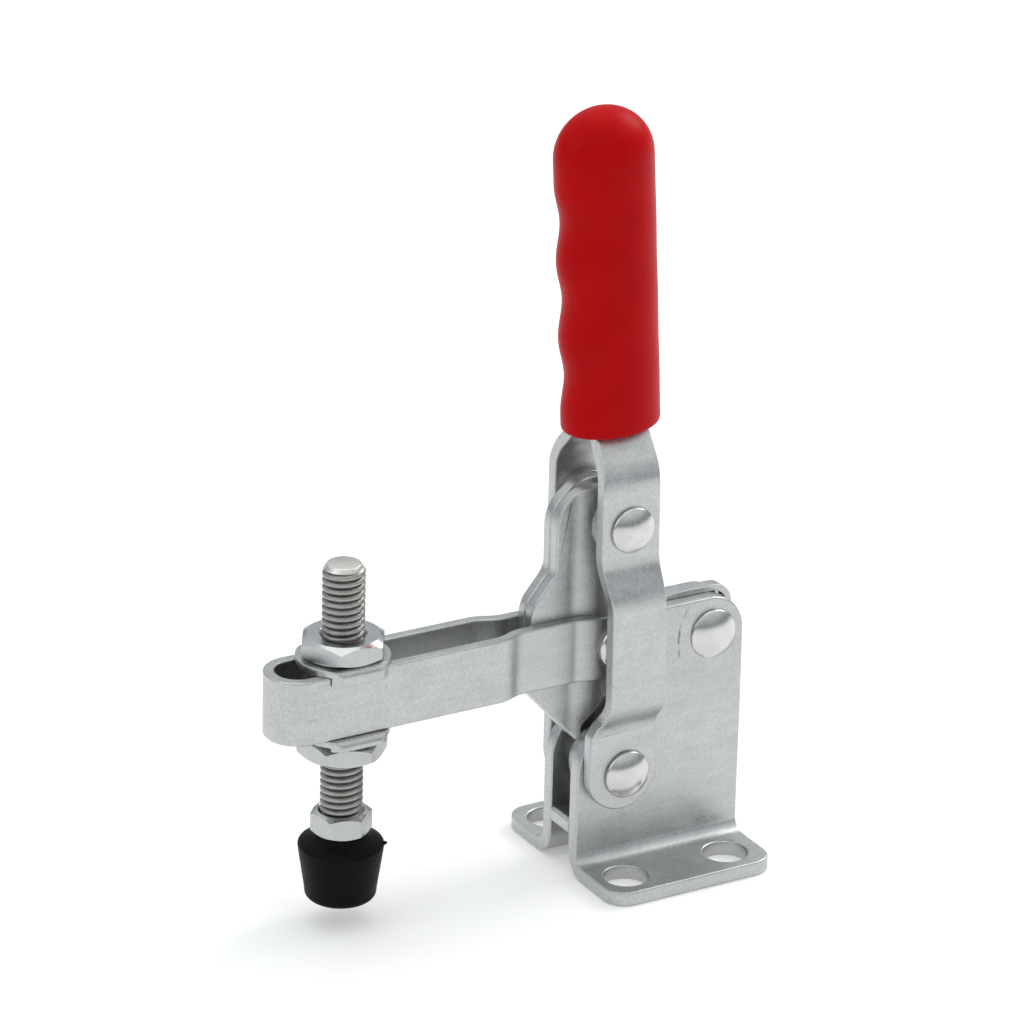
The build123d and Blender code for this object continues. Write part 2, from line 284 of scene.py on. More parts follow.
def zinc_finish():
    """Satin zinc plate: fine grain, faint clouds and rolling lines."""
    f = Finish("zinc_plate")
    colour = tuple(finishes().zinc)
    grain = f.noise(0.55 * MM, 3.0, 0.65)
    speck = f.noise(0.26 * MM, 1.0, 0.5)
    cloud = f.noise(6 * MM, 4.0, 0.6)
    rolled = f.noise(1.3 * MM, 2.0, 0.5, f.stretched((0.12, 1.0, 1.0)))
    scuffs = f.ramp(f.noise(0.9 * MM, 2.0, 0.5, f.stretched((1.0, 0.3, 0.16))), 0.62, 0.72)
    tone = (f.ramp(grain, 0.3, 0.7) * 0.42 + f.ramp(speck, 0.25, 0.75) * 0.25
            + f.ramp(cloud, 0.3, 0.7) * 0.2 + f.ramp(rolled, 0.3, 0.7) * 0.13)
    # painted shade: a dark line on the left base plate where a crease in the plate would fall dark
    crease_shade = crease_shade_line(f, grain)
    plain = f.mix(tone, shade(colour, 0.66), shade(colour, 1.24))
    f.set(Base_Color=f.mix(crease_shade * 0.8, plain, shade(colour, 0.3)), Metallic=1.0,
          Roughness=(0.29 + 0.13 * f.ramp(grain, 0.3, 0.7) + 0.06 * f.ramp(cloud, 0.3, 0.7)
                     - 0.07 * scuffs),
          Normal=f.bump(grain + 0.6 * speck + 0.35 * scuffs, 0.34, 0.035 * MM))
    return f.material


def rivet_finish():
    """Bright formed heads with shallow dents."""
    f = Finish("formed_rivet")
    colour = tuple(finishes().rivet)
    grain = f.noise(0.4 * MM, 2.0, 0.5)
    dent = f.noise(3.4 * MM, 1.0, 0.4)
    tone = f.ramp(grain, 0.3, 0.7) * 0.5 + f.ramp(dent, 0.35, 0.65) * 0.5
    f.set(Base_Color=f.mix(tone, shade(colour, 0.9), shade(colour, 1.1)), Metallic=1.0,
          Roughness=0.17 + 0.08 * f.ramp(grain, 0.3, 0.7),
          Normal=f.bump(dent + 0.03 * grain, 0.3, 0.22 * MM))
    return f.material


def thread_finish():
    """Dull thread with painted shade in the roots and painted light on the crests, and a bare turned end."""
    f = Finish("threaded_steel")
    colour = tuple(finishes().thread)
    centre = (SPINDLE_X, 0.0, 0.0)
    end_face = 84.1 * MM
    across = f.add("ShaderNodeVectorMath", {"operation": "MULTIPLY"}, {
        0: f.add("ShaderNodeVectorMath", {"operation": "SUBTRACT"}, {0: f.place, 1: centre}),
        1: (1.0, 1.0, 0.0)})
    radius = f.add("ShaderNodeVectorMath", {"operation": "LENGTH"}, {0: across}, output="Value")
    height = f.add("ShaderNodeSeparateXYZ", {}, {"Vector": f.place}, output="Z")
    lit_crest_mask = f.ramp(radius, 4.05 * MM, 4.65 * MM)
    end = f.ramp(height, end_face - 0.15 * MM, end_face)
    streak = f.noise(0.6 * MM, 3.0, 0.6, f.stretched((1.0, 1.0, 3.0)))
    grime = f.noise(2.5 * MM, 3.0, 0.6)
    # painted shade and light: the thread is darker towards its roots and lighter on its crests
    tone = (lit_crest_mask * 0.45 + f.ramp(streak, 0.3, 0.7) * 0.25 + f.ramp(grime, 0.3, 0.7) * 0.3)
    wound = f.mix(tone, shade(colour, 0.5), shade(colour, 1.35))
    bare = f.mix(f.ramp(streak, 0.3, 0.7), (0.62, 0.60, 0.565), (0.74, 0.72, 0.68))
    f.set(Base_Color=f.mix(end, wound, bare), Metallic=1.0,
          Roughness=0.3 - 0.06 * lit_crest_mask + 0.12 * f.ramp(grime, 0.3, 0.7),
          Normal=f.bump(streak, 0.2, 0.05 * MM))
    return f.material


def nut_finish():
    """Drawn and plated flats."""
    f = Finish("plated_nut")
    colour = tuple(finishes().nut)
    grain = f.noise(0.35 * MM, 2.0, 0.55)
    cloud = f.noise(3.2 * MM, 3.0, 0.5)
    drawn = f.noise(0.8 * MM, 2.0, 0.5, f.stretched((1.0, 1.0, 0.15)))
    tone = (f.ramp(grain, 0.3, 0.7) * 0.3 + f.ramp(cloud, 0.3, 0.7) * 0.4
            + f.ramp(drawn, 0.3, 0.7) * 0.3)
    f.set(Base_Color=f.mix(tone, shade(colour, 0.88), shade(colour, 1.1)), Metallic=1.0,
          Roughness=0.16 + 0.07 * f.ramp(grain, 0.3, 0.7) + 0.05 * f.ramp(drawn, 0.3, 0.7),
          Normal=f.bump(0.25 * grain + 0.25 * drawn + cloud, 0.16, 0.05 * MM))
    return f.material


def grip_finish():
    """Satin red plastic with a fine mould texture."""
    f = Finish("moulded_grip")
    colour = tuple(finishes().grip)
    haze = f.noise(9 * MM, 3.0, 0.5)
    spark = f.noise(0.3 * MM, 2.0, 0.5)
    scuff = f.noise(1.8 * MM, 3.0, 0.6, f.stretched((1.0, 1.0, 0.2)))
    tone = f.ramp(haze, 0.3, 0.7) * 0.6 + f.ramp(spark, 0.3, 0.7) * 0.4
    f.set(Base_Color=f.mix(tone, shade(colour, 0.9), shade(colour, 1.1)), Metallic=0.0,
          Roughness=0.34 + 0.08 * f.ramp(spark, 0.3, 0.7) + 0.05 * f.ramp(scuff, 0.45, 0.7),
          Normal=f.bump(spark + 0.4 * scuff, 0.14, 0.04 * MM), Specular_IOR_Level=0.07)
    return f.material


def rubber_finish():
    """Dull black rubber with a faint bloom."""
    f = Finish("moulded_rubber")
    colour = tuple(finishes().rubber)
    bloom = f.noise(4 * MM, 4.0, 0.6)
    grain = f.noise(0.3 * MM, 2.0, 0.5)
    f.set(Base_Color=f.mix(f.ramp(bloom, 0.35, 0.7), shade(colour, 0.7), shade(colour, 1.7)),
          Metallic=0.0, Roughness=0.40 + 0.12 * f.ramp(bloom, 0.3, 0.7) + 0.06 * grain,
          Normal=f.bump(grain + 0.3 * bloom, 0.2, 0.06 * MM), Specular_IOR_Level=0.08)
    return f.material


MADE_FINISHES = {}
FINISH_OF_SLOT = {
    "zinc_plated_steel": zinc_finish,
    "bright_rivet": rivet_finish,
    "threaded_steel": thread_finish,
    "nut_steel": nut_finish,
    "red_grip": grip_finish,
    "black_rubber": rubber_finish,
}


def dress(piece, node):
    """Gives a piece the finish of the node it stands for, and lets it ride there."""
    slot = SLOT_OF[node]
    if slot not in MADE_FINISHES:
        MADE_FINISHES[slot] = FINISH_OF_SLOT[slot]()
    piece.data.materials.clear()
    piece.data.materials.append(MADE_FINISHES[slot])
    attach(piece, BODY_OF[node])
    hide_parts(node)


# ---- modelling by hand -----------------------------------------------------
def select_nothing():
    """Leaves edit mode and deselects every object."""
    if bpy.context.object and bpy.context.object.mode != "OBJECT":
        bpy.ops.object.mode_set(mode="OBJECT")
    bpy.ops.object.select_all(action="DESELECT")


def only(piece):
    """Makes one piece the active and only selected object."""
    select_nothing()
    piece.select_set(True)
    bpy.context.view_layer.objects.active = piece


def trace(name, points):
    """Draws a line through points by extruding one vertex; leaves edit mode on."""
    select_nothing()
    bpy.ops.mesh.primitive_plane_add(size=MM, location=points[0], enter_editmode=True)
    bpy.ops.mesh.select_mode(type="VERT")
    bpy.ops.mesh.merge(type="CENTER")
    for here, there in zip(points, points[1:]):
        bpy.ops.mesh.extrude_vertices_move(TRANSFORM_OT_translate={"value": there - here})
    bpy.ops.mesh.select_all(action="SELECT")
    piece = bpy.context.object
    piece.name = name
    return piece


def settle(piece):
    """Leaves edit mode and puts the object's origin at the world's."""
    only(piece)
    bpy.ops.object.transform_apply(location=True, rotation=True, scale=True)


def tidy_mesh(piece, gap=1e-6):
    """Merges doubled points and turns every face outward."""
    only(piece)
    bpy.ops.object.mode_set(mode="EDIT")
    bpy.ops.mesh.select_all(action="SELECT")
    bpy.ops.mesh.remove_doubles(threshold=gap)
    bpy.ops.mesh.normals_make_consistent(inside=False)
    bpy.ops.object.mode_set(mode="OBJECT")


def pick_edges(piece, test):
    """Enters edit mode with the edges selected whose two ends pass a test."""
    mesh = piece.data
    for part in (mesh.vertices, mesh.edges, mesh.polygons):
        part.foreach_set("select", [False] * len(part))
    for edge in mesh.edges:
        edge.select = all(test(mesh.vertices[i].co) for i in edge.vertices)
    only(piece)
    bpy.ops.object.mode_set(mode="EDIT")
    bpy.ops.mesh.select_mode(type="EDGE")


def rounded(corners, closed=False):
    """Points in millimetres along a line whose (a, b, radius) corners are rounded."""
    points = []
    for i, (a, b, radius) in enumerate(corners):
        here = Vector((a, b))
        if not radius or (not closed and i in (0, len(corners) - 1)):
            points.append(here)
            continue
        back = (Vector(corners[i - 1][:2]) - here).normalized()
        ahead = (Vector(corners[(i + 1) % len(corners)][:2]) - here).normalized()
        half = back.angle(ahead) / 2
        centre = here + (back + ahead).normalized() * (radius / math.sin(half))
        spoke = here + back * (radius / math.tan(half)) - centre
        turn = math.copysign(math.pi - 2 * half, ahead.x * back.y - ahead.y * back.x)
        count = max(2, math.ceil(abs(turn) / BEND_STEP))
        points += [centre + Matrix.Rotation(turn * k / count, 2) @ spoke for k in range(count + 1)]
    return points


def trimmed(piece, outline, through):
    """Trims a piece to an outline that is swept along Y or along Z."""
    if through == "Y":
        points = [Vector((p.x, -40, p.y)) * MM for p in rounded(outline, True)]
        reach = Vector((0, 80, 0)) * MM
    else:
        points = [Vector((p.x, p.y, -5)) * MM for p in rounded(outline, True)]
        reach = Vector((0, 0, 200)) * MM
    trimmer = trace("trimmer", points)
    bpy.ops.mesh.edge_face_add()
    bpy.ops.mesh.extrude_region_move(TRANSFORM_OT_translate={"value": reach})
    settle(trimmer)
    tidy_mesh(trimmer)
    cut(piece, trimmer, "INTERSECT")
    return piece


def folded(node, path, gauge, along, span, outline):
    """Folds sheet along a path, swept over a span, and trims it to its side outline."""
    line = rounded(path)
    if along == "X":
        points = [Vector((span[0], p.x, p.y)) * MM for p in line]
        reach = Vector((span[1] - span[0], 0, 0)) * MM
    else:
        points = [Vector((p.x, p.y, span[0])) * MM for p in line]
        reach = Vector((0, 0, span[1] - span[0])) * MM
    piece = trace(node + "_folded", points)
    bpy.ops.mesh.extrude_region_move(TRANSFORM_OT_translate={"value": reach})
    settle(piece)
    bpy.ops.object.modifier_add(type="SOLIDIFY")
    thickener = piece.modifiers[-1]
    thickener.thickness = gauge * MM
    thickener.offset = 0
    thickener.use_even_offset = True
    bpy.ops.object.modifier_apply(modifier=thickener.name)
    tidy_mesh(piece)
    return trimmed(piece, outline, "Y")


def drilled(piece, radius, place, axis):
    """Drills a round hole through a piece, along Y or Z; sizes in millimetres."""
    select_nothing()
    bpy.ops.mesh.primitive_cylinder_add(
        vertices=HOLE_STEPS, radius=radius * MM, depth=50 * MM, location=Vector(place) * MM,
        rotation=(math.radians(90), 0, 0) if axis == "Y" else (0, 0, 0))
    drill = bpy.context.object
    settle(drill)
    cut(piece, drill, "DIFFERENCE")


def eased(piece, width, segments=3):
    """Rounds a piece's sharp edges and evens its shading."""
    tidy_mesh(piece)
    round_edges(piece, width, segments)
    smooth(piece, 50)
    weigh_normals(piece)


def both_sides(piece, left, right):
    """Dresses a left piece and mirrors its own copy for the right side."""
    twin = piece.copy()
    twin.data = piece.data.copy()
    twin.name = right + "_folded"
    bpy.context.scene.collection.objects.link(twin)
    only(twin)
    bpy.ops.object.mode_set(mode="EDIT")
    bpy.ops.mesh.select_all(action="SELECT")
    bpy.ops.transform.mirror(constraint_axis=(False, True, False), center_override=(0, 0, 0))
    bpy.ops.mesh.normals_make_consistent(inside=False)
    bpy.ops.object.mode_set(mode="OBJECT")
    for one, node in ((piece, left), (twin, right)):
        eased(one, sizes().sheet_edge)
        dress(one, node)


def smooth(piece, degrees):
    """Shades a piece smoothly but for edges sharper than an angle."""
    only(piece)
    bpy.ops.object.shade_smooth_by_angle(angle=math.radians(degrees))


def round_edges(piece, width, segments, degrees=35):
    """Bevels every edge sharper than an angle."""
    only(piece)
    bpy.ops.object.modifier_add(type="BEVEL")
    bevel = piece.modifiers[-1]
    bevel.width = width
    bevel.segments = segments
    bevel.limit_method = "ANGLE"
    bevel.angle_limit = math.radians(degrees)
    bevel.use_clamp_overlap = False
    bevel.miter_outer = "MITER_ARC"
    bpy.ops.object.modifier_apply(modifier=bevel.name)


def weigh_normals(piece):
    """Lets the large flat faces set the normals at their edges."""
    only(piece)
    bpy.ops.object.modifier_add(type="WEIGHTED_NORMAL")
    weigher = piece.modifiers[-1]
    weigher.keep_sharp = True
    bpy.ops.object.modifier_apply(modifier=weigher.name)


def cut(piece, tool, operation):
    """Boolean of a piece with a tool, which is then removed."""
    only(piece)
    bpy.ops.object.modifier_add(type="BOOLEAN")
    boolean = piece.modifiers[-1]
    boolean.operation = operation
    boolean.solver = "EXACT"
    boolean.object = tool
    bpy.ops.object.modifier_apply(modifier=boolean.name)
    bpy.data.objects.remove(tool)


def eased_copy(node):
    """The node's own shape with its small edges rounded."""
    piece = bpy.data.objects.new(node + "_eased", NODES[node].data.copy())
    bpy.context.scene.collection.objects.link(piece)
    tidy_mesh(piece)
    bpy.ops.object.mode_set(mode="EDIT")
    bpy.ops.mesh.dissolve_limited(angle_limit=math.radians(0.2))
    bpy.ops.object.mode_set(mode="OBJECT")
    eased(piece, sizes().small_edge, 2)
    dress(piece, node)


def lathe(name, profile, centre, axis, steps):
    """Spins a profile of (distance from axis, level along axis) into a closed turned piece."""
    along = Vector(axis)
    side = Vector((1, 0, 0))
    points = [Vector(centre) + side * radius + along * level for radius, level in profile]
    piece = trace(name, points)
    bpy.ops.mesh.spin(steps=steps, angle=2 * math.pi, center=centre, axis=axis)
    settle(piece)
    tidy_mesh(piece)
    return piece


def arc(centre, radius, start, end, count):
    """Points on an arc in a profile's plane, angles in degrees."""
    turns = [math.radians(start + (end - start) * i / count) for i in range(count + 1)]
    return [(centre[0] + radius * math.cos(t), centre[1] + radius * math.sin(t)) for t in turns]


# ---- pieces ----------------------------------------------------------------
class CLAMP_OT_base(bpy.types.Operator):
    """Folds, drills and trims the base plates, and eases their bridge and front bush"""

    bl_idname = "clamp.base"
    bl_label = "Base"

    def execute(self, context):
        gauge, foot, web, web_top = 3.4, 24.7, 5.6, 3.3
        front, rear, plateau = 20.5, -21.7, 60.8
        spare = 30
        plate = folded(
            "base_plate_left",
            [(foot + 1.3, gauge / 2, 0), (web, gauge / 2, 4.7), (web, 34, 30), (web_top, 62, 0)],
            gauge, "X", (-24, 22),
            [(rear, 0, 0), (front, 0, 0), (front, 28.6, 10.6), (-2.4, plateau, 0.8),
             (-22.9, plateau, 8.2), (rear, 34, 20)])
        for hole_x in (-13, 13):
            drilled(plate, 5.0, (hole_x, 16.75, 0), "Z")
        drilled(plate, 8.25, (10.6, 0, 55), "Y")  # room for the arm at the link pivot
        trimmed(plate, [
            (-spare, -2, 0), (spare, -2, 0), (spare, 12, 0), (front, 12.1, 0), (front, foot, 5.2),
            (rear, foot, 5.2), (rear, 12.1, 0), (-spare, 12, 0)], "Z")
        both_sides(plate, "base_plate_left", "base_plate_right")
        for node in ("base_bridge", "front_pivot_bush"):
            eased_copy(node)
        return {"FINISHED"}


class CLAMP_OT_rivets(bpy.types.Operator):
    """Turns the four domed pivot rivets"""

    bl_idname = "clamp.rivets"
    bl_label = "Rivets"

    def execute(self, context):
        head_height, rim_height, lip = 2.5 * MM, 0.75 * MM, 0.42 * MM
        for node, shank, wide in (("front_pivot_rivet", 3.2, 5.55), ("rear_pivot_rivet", 3.2, 5.85),
                                  ("arm_pivot_rivet", 3.2, 5.3), ("link_pivot_rivet", 3.0, 5.2)):
            low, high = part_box(node)
            centre = Vector(((low.x + high.x) / 2, 0, (low.z + high.z) / 2))
            crown, head = high.y, wide * MM
            seat = crown - head_height
            rim = seat + rim_height
            rise = crown - rim - lip * 0.6
            ball = ((head - lip) ** 2 + rise ** 2) / (2 * rise)
            reach = math.degrees(math.asin((head - lip) / ball))
            dome = arc((0, crown - ball), ball, 90, 90 - reach, 14)
            half = dome + [(head - 0.16 * MM, rim + 0.1 * MM), (head, rim - 0.15 * MM),
                           (head, seat + 0.22 * MM), (head - 0.22 * MM, seat), (shank * MM, seat)]
            half[0] = (0, crown)
            profile = half + [(r, -level) for r, level in reversed(half)]
            piece = lathe(node + "_turned", profile, centre, (0, 1, 0), sizes().rivet_steps)
            smooth(piece, 50)
            dress(piece, node)
        return {"FINISHED"}


class CLAMP_OT_handle(bpy.types.Operator):
    """Folds and trims the two fork straps, and eases their collars"""

    bl_idname = "clamp.handle"
    bl_label = "Handle fork"

    def execute(self, context):
        gauge, eye, belly, neck, tang = 3.0, 8.85, 13.6, 10.4, 1.8
        fork = folded(
            "handle_fork_left",
            [(eye, 10, 0), (eye, 37.5, 7.5), (belly, 43.1, 8.5), (belly, 68.4, 13), (neck, 75.8, 11),
             (neck, 96.9, 9), (tang, 107.4, 6), (tang, 150, 0)],
            gauge, "X", (-4, 26),
            [(1.8, 16.6, 8.45), (19.2, 16.6, 8.45), (19.2, 35.2, 4), (16.9, 39.6, 4), (17.3, 68, 14),
             (18.75, 78.5, 14), (18.75, 94.5, 7), (16.8, 108, 6), (18.6, 149.9, 3), (7.6, 149.9, 3),
             (3.8, 107.5, 6), (4.3, 95.5, 9), (4.05, 80, 20), (2.9, 46, 20)])
        both_sides(fork, "handle_fork_left", "handle_fork_right")
        for node in ("arm_pivot_collar_left", "arm_pivot_collar_right"):
            eased_copy(node)
        return {"FINISHED"}


class CLAMP_OT_grip(bpy.types.Operator):
    """Moulds the oval grip with its finger hollows and domed top"""

    bl_idname = "clamp.grip"
    bl_label = "Grip"

    def execute(self, context):
        lean = math.radians(3.5)
        half_depth, half_width, dome = 11.5 * MM, 9.0 * MM, 11.0 * MM
        low, top = 105.3 * MM, 178.5 * MM
        body = (top - low) / math.cos(lean) - dome
        fingers, pitch, start = 3, 17.7 * MM, 3.65 * MM
        chamfer, body_rings, dome_rings = 1.0 * MM, 60, 24
        rings = [(level * MM, inset * MM, 1.0) for inset, level in (
            (1.0, 0.0), (0.62, 0.08), (0.3, 0.3), (0.08, 0.62), (0.0, 1.0))]
        for i in range(1, body_rings + 1):
            rings.append((chamfer + (body - chamfer) * i / body_rings, 0.0, 1.0))
        for i in range(1, dome_rings + 1):
            turn = math.radians(90 * i / (dome_rings + 0.4))
            rings.append((body + dome * math.sin(turn), 0.0, math.cos(turn)))

        def ring(level, inset, scale):
            """One ring's shift in x, level and two half widths, hollowed for the fingers."""
            along = (level - start) / pitch
            depth = 0.0
            if 0 < along < fingers:
                depth = sizes().finger_depth * (1 - math.cos(2 * math.pi * along)) / 2
            return (-depth / 2, level, (half_depth - depth / 2 - inset) * scale,
                    (half_width - inset) * scale)

        select_nothing()
        bpy.ops.mesh.primitive_circle_add(
            vertices=sizes().grip_steps, radius=1.0, fill_type="NGON", enter_editmode=True)
        piece = bpy.context.object
        piece.name = "handle_grip_moulded"
        shift, level, depth, width = ring(*rings[0])
        bpy.ops.transform.resize(value=(depth, width, 1), center_override=(0, 0, 0))
        bpy.ops.transform.translate(value=(shift, 0, level))
        for row in rings[1:]:
            new_shift, new_level, new_depth, new_width = ring(*row)
            bpy.ops.mesh.extrude_region_move(
                TRANSFORM_OT_translate={"value": (new_shift - shift, 0, new_level - level)})
            bpy.ops.transform.resize(
                value=(new_depth / depth, new_width / width, 1),
                center_override=(new_shift, 0, new_level))
            shift, level, depth, width = new_shift, new_level, new_depth, new_width
        bpy.ops.mesh.select_all(action="SELECT")
        bpy.ops.mesh.normals_make_consistent(inside=False)
        bpy.ops.object.mode_set(mode="OBJECT")
        piece.rotation_euler = (0, lean, 0)
        piece.location = (10.4 * MM, 0, low)
        settle(piece)
        smooth(piece, 60)
        dress(piece, "handle_grip")
        return {"FINISHED"}


class CLAMP_OT_arm(bpy.types.Operator):
    """Folds the bar and the cheek plates, and eases the spacer, the link and the washers"""

    bl_idname = "clamp.arm"
    bl_label = "Holding arm"

    def execute(self, context):
        gauge, flare = 3.0, 3.1
        cheek = folded(
            "cheek_plate_left",
            [(0, flare, 0), (14.4, flare, 9), (20.3, gauge / 2, 9), (34, gauge / 2, 0)],
            gauge, "Z", (30, 94),
            [(31.4, 46.4, 2), (30.8, 66.1, 7), (24.9, 73.2, 6), (25, 92.7, 9.3), (3.7, 92.7, 7.9),
             (3.7, 52.7, 6.8), (17.7, 35.5, 2), (17.7, 31, 0.8)])
        both_sides(cheek, "cheek_plate_left", "cheek_plate_right")
        bar_gauge, rear, neck, slot = 2.5, 5.85, 4.25, 6.15
        low, high = 47.5, 62.5
        leg = [(0, rear, 0), (14.77, rear, 11.75), (20.67, neck, 6.25), (35.5, neck, 8.5),
               (39.5, slot, 8.5), (93.25, slot, 5.9)]
        bar = folded(
            "arm_bar", leg + [(x, -y, r) for x, y, r in reversed(leg)],
            bar_gauge, "Z", (low - 1.5, high + 1.5),
            [(3.1, low, 7.49), (99, low, 0), (99, high, 0), (3.1, high, 7.49)])
        eased(bar, sizes().sheet_edge)
        dress(bar, "arm_bar")
        for node in ("arm_pivot_spacer", "centre_link", "upper_flanged_washer",
                     "lower_flanged_washer"):
            eased_copy(node)
        return {"FINISHED"}


class CLAMP_OT_spindle(bpy.types.Operator):
    """Winds the spindle's thread and chamfers its end"""

    bl_idname = "clamp.spindle"
    bl_label = "Spindle"

    def execute(self, context):
        low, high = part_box("spindle")
        centre = Vector(((low.x + high.x) / 2, 0, 0))
        lit_crest_mask = (high.x - low.x) / 2
        depth, pitch = sizes().thread_depth, sizes().thread_pitch
        first = low.z - 2 * pitch
        # One thread's profile: depth from crest to root, and level, as shares of depth and pitch.
        form = [(0.0, -0.08), (0.0, 0.08), (0.03, 0.17), (0.13, 0.25), (0.9, 0.45), (1.0, 0.49),
                (1.0, 0.51), (0.9, 0.55), (0.13, 0.75), (0.03, 0.83), (0.0, 0.92)]
        points = [Vector((lit_crest_mask - depth * deep, 0, first + level * pitch)) for deep, level in form]
        piece = trace("spindle_threaded", points)
        settle(piece)
        bpy.ops.object.modifier_add(type="SCREW")
        screw = piece.modifiers[-1]
        screw.axis = "Z"
        screw.screw_offset = pitch
        screw.steps = screw.render_steps = THREAD_STEPS
        screw.iterations = math.ceil((high.z - low.z) / pitch) + 4
        bpy.ops.object.modifier_apply(modifier=screw.name)
        bpy.ops.object.mode_set(mode="EDIT")
        bpy.ops.mesh.select_all(action="SELECT")
        bpy.ops.mesh.remove_doubles(threshold=3e-6)
        for place, way in ((low.z - 0.5 * MM, (0, 0, -1)), (high.z + 0.5 * MM, (0, 0, 1))):
            bpy.ops.mesh.select_all(action="SELECT")
            bpy.ops.mesh.bisect(plane_co=(0, 0, place), plane_no=way, use_fill=True, clear_outer=True)
        bpy.ops.mesh.select_all(action="SELECT")
        bpy.ops.mesh.normals_make_consistent(inside=False)
        bpy.ops.object.mode_set(mode="OBJECT")
        top = high.z
        envelope = lathe("spindle_envelope", [
            (0, low.z), (lit_crest_mask - 0.8 * MM, low.z), (lit_crest_mask + 0.1 * MM, low.z + 0.9 * MM),
            (lit_crest_mask + 0.1 * MM, top - 1.75 * MM), (lit_crest_mask - 0.08 * MM, top - 1.45 * MM),
            (lit_crest_mask - 0.72 * MM, top - 0.5 * MM), (lit_crest_mask - 0.88 * MM, top - 0.22 * MM),
            (lit_crest_mask - 1.05 * MM, top - 0.05 * MM), (lit_crest_mask - 1.25 * MM, top), (0, top)],
            (0, 0, 0), (0, 0, 1), 64)
        cut(piece, envelope, "INTERSECT")
        piece.location = centre
        settle(piece)
        smooth(piece, 35)
        dress(piece, "spindle")
        return {"FINISHED"}


class CLAMP_OT_nuts(bpy.types.Operator):
    """Shapes the three hexagon nuts with chamfers and countersunk bores"""

    bl_idname = "clamp.nuts"
    bl_label = "Nuts"

    def execute(self, context):
        face_share, chamfer_angle = 0.925, math.radians(33)
        thread, sunk, past = 4.6 * MM, 5.25 * MM, 1.0 * MM
        for node, flats, turn in (("upper_nut", 17.46, 59.0), ("lower_nut", 17.46, 41.5),
                                  ("tip_nut", 12.0, 41.0)):
            low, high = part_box(node)
            height = high.z - low.z
            centre = (SPINDLE_X, 0, (low.z + high.z) / 2)
            across = flats / math.sqrt(3) * MM
            select_nothing()
            bpy.ops.mesh.primitive_cylinder_add(vertices=6, radius=across, depth=height)
            piece = bpy.context.object
            piece.name = node + "_hexagon"
            piece.rotation_euler = (0, 0, math.radians(turn + 90))
            settle(piece)
            round_edges(piece, 0.25 * MM, 2, 40)
            flat = flats / 2 * MM * face_share
            drop = (across - flat) * math.tan(chamfer_angle)
            half = height / 2
            barrel = lathe("nut_barrel", [
                (0, -half), (flat - 0.15 * MM, -half), (flat, -half + 0.06 * MM),
                (across + 0.05 * MM, -half + drop), (across + 0.05 * MM, half - drop),
                (flat, half - 0.06 * MM), (flat - 0.15 * MM, half), (0, half)],
                (0, 0, 0), (0, 0, 1), NUT_STEPS)
            cut(piece, barrel, "INTERSECT")
            bore = lathe("nut_bore", [
                (0, -half - past), (sunk, -half - past), (sunk, -half), (thread, -half + 0.5 * MM),
                (thread, half - 0.5 * MM), (sunk, half), (sunk, half + past), (0, half + past)],
                (0, 0, 0), (0, 0, 1), NUT_STEPS // 2)
            cut(piece, bore, "DIFFERENCE")
            piece.location = centre
            settle(piece)
            smooth(piece, 32)
            weigh_normals(piece)
            dress(piece, node)
        return {"FINISHED"}


class CLAMP_OT_tip(bpy.types.Operator):
    """Turns the rubber pressure tip and draws out its moulding nub"""

    bl_idname = "clamp.tip"
    bl_label = "Rubber tip"

    def execute(self, context):
        low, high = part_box("rubber_tip")
        centre = Vector(((low.x + high.x) / 2, 0, 0))
        wide, base, top = (high.x - low.x) / 2, low.z, high.z
        shoulder = [(5.9, 21.6), (6.1, 21.2), (6.5, 20.75), (7.1, 20.4), (8.0, 20.0), (8.8, 19.55),
                    (9.2, 19.25), (9.42, 18.9), (9.5, 18.5), (9.48, 18.15), (9.38, 17.9),
                    (9.34, 17.75), (9.38, 17.6), (9.36, 17.3)]
        (skirt, skirt_top), (toe, toe_top) = shoulder[-1], (7.95, 7.9)
        side = [(skirt + (toe - skirt) * i / 8, skirt_top + (toe_top - skirt_top) * i / 8)
                for i in range(1, 9)]
        foot = arc((6.2, 7.55), 1.75, 8, -90, 10)
        profile = [(4.0, 21.6)] + shoulder + side + foot + [(0, 5.8)]
        profile = [(min(r * MM, wide), min(max(z * MM, base), top)) for r, z in profile]
        piece = lathe("rubber_tip_moulded", profile, centre, (0, 0, 1), TIP_STEPS)
        nub_way = Vector((-0.86, 0.51, 0))
        spot = centre + nub_way * wide + Vector((0, 0, 19.0 * MM))
        pick_edges(piece, lambda v: (v - spot).length < 0.75 * MM)
        bpy.ops.mesh.select_mode(type="FACE")
        for reach, size in ((0.4 * MM, 0.85), (0.3 * MM, 0.6)):
            bpy.ops.mesh.extrude_region_move(
                TRANSFORM_OT_translate={"value": (nub_way + Vector((0, 0, 0.3))) * reach})
            bpy.ops.transform.resize(value=(size, size, size))
        bpy.ops.object.mode_set(mode="OBJECT")
        smooth(piece, 60)
        dress(piece, "rubber_tip")
        return {"FINISHED"}


def lay_floor(colour):
    """Lays a pale floor that looks white to the camera and in reflections."""
    width, drop, glow_power = 24.0, 0.05 * MM, 0.24
    select_nothing()
    bpy.ops.mesh.primitive_plane_add(size=width, location=(0, 0, -drop))
    floor = bpy.context.object
    floor.name = "pale_floor"
    f = Finish("pale_floor")
    diffuse = f.add("ShaderNodeBsdfDiffuse", {}, {"Color": colour})
    camera_ray = f.add("ShaderNodeLightPath", {}, {}, output="Is Camera Ray")
    seen = (camera_ray + camera_ray.beside("Is Glossy Ray")
            + camera_ray.beside("Is Transmission Ray")).clamped()
    glow = f.add("ShaderNodeEmission", {}, {"Color": (1.0, 1.0, 1.0), "Strength": seen * glow_power})
    f.feed(f.output, f.add("ShaderNodeAddShader", {}, {0: diffuse, 1: glow}))
    f.tree.nodes.remove(f.shader)
    floor.data.materials.append(f.material)


